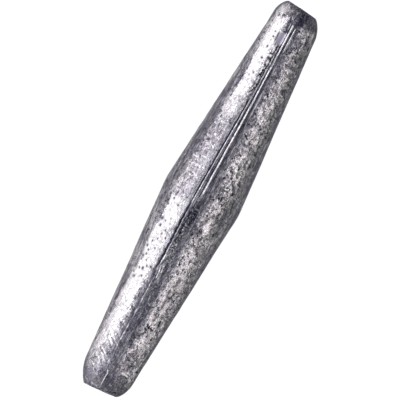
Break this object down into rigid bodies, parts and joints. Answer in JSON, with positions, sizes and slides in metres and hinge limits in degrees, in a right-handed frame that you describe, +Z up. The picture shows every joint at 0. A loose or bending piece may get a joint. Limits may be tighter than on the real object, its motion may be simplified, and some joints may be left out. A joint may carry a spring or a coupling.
{
  "type": "fishing sinker",
  "caption": "Lead in-line sinker that tapers both ways from a belt to nipped-off ends, with a parting line and a tube for the line to run through.",
  "frame": {"origin": "on the axis of the line bore, in the plane of the belt where the two tapers meet", "axes": "+X along the axis towards the slim end; +Y towards the side on which both nipped faces reach out furthest; +Z up, towards the parting line that faces the viewer when the sinker lies down"},
  "size_m": [0.0845, 0.016, 0.0164],
  "materials": {
    "cast_lead": "bright cast lead, dulled and scuffed in patches",
    "tube_brass": "drawn brass, plain"
  },
  "bodies": {
    "root": {"lead_casting": "cast_lead", "line_tube": "tube_brass"}
  },
  "joints": []
}
